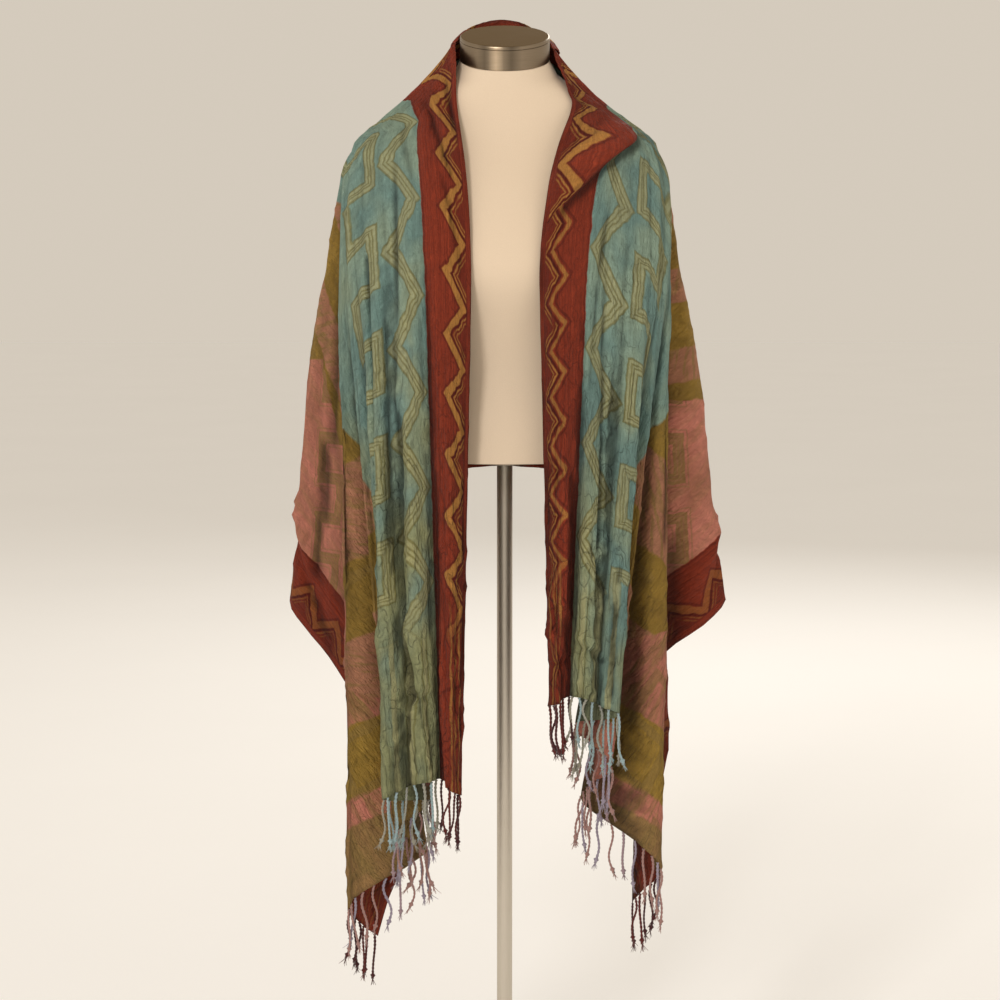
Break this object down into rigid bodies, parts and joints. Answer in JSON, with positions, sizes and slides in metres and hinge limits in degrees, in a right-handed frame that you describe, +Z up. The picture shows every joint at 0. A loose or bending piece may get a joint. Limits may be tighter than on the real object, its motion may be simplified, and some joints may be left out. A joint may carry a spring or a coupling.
{
  "type": "pashmina scarf on dress form",
  "caption": "Long woven scarf draped open over the shoulders of a limbless dress form, fringed ends hanging in front, on a pole stand with a round base.",
  "frame": {"origin": "on the floor, at the centre of the underside of the stand's round base", "axes": "+Z up along the stand's pole, -Y out of the front of the form, +X to the viewer's right when seen from the front"},
  "size_m": [0.5678, 0.34, 1.5028],
  "materials": {
    "border_cloth": "rust-red twill with tan zigzags",
    "field_cloth": "soft twill in aqua, olive and rose",
    "fringe": "twisted and knotted yarn",
    "jersey": "smooth stretched jersey",
    "steel": "spun and brushed"
  },
  "bodies": {
    "root": {"front_border_left": "border_cloth", "front_border_right": "border_cloth", "neck_border": "border_cloth", "collar_flap": "border_cloth", "hem_border_left": "border_cloth", "hem_border_right": "border_cloth", "hem_border_back": "border_cloth", "front_panel_left": "field_cloth", "front_panel_right": "field_cloth", "side_fold_left": "field_cloth", "side_fold_right": "field_cloth", "side_flare_left": "field_cloth", "side_flare_right": "field_cloth", "back_panel": "field_cloth", "fringe_front_left": "fringe", "fringe_front_right": "fringe", "fringe_side_left": "fringe", "fringe_side_right": "fringe", "form_body": "jersey", "neck_cap": "steel", "form_plate": "steel", "stand_pole": "steel", "stand_base": "steel"}
  },
  "joints": []
}
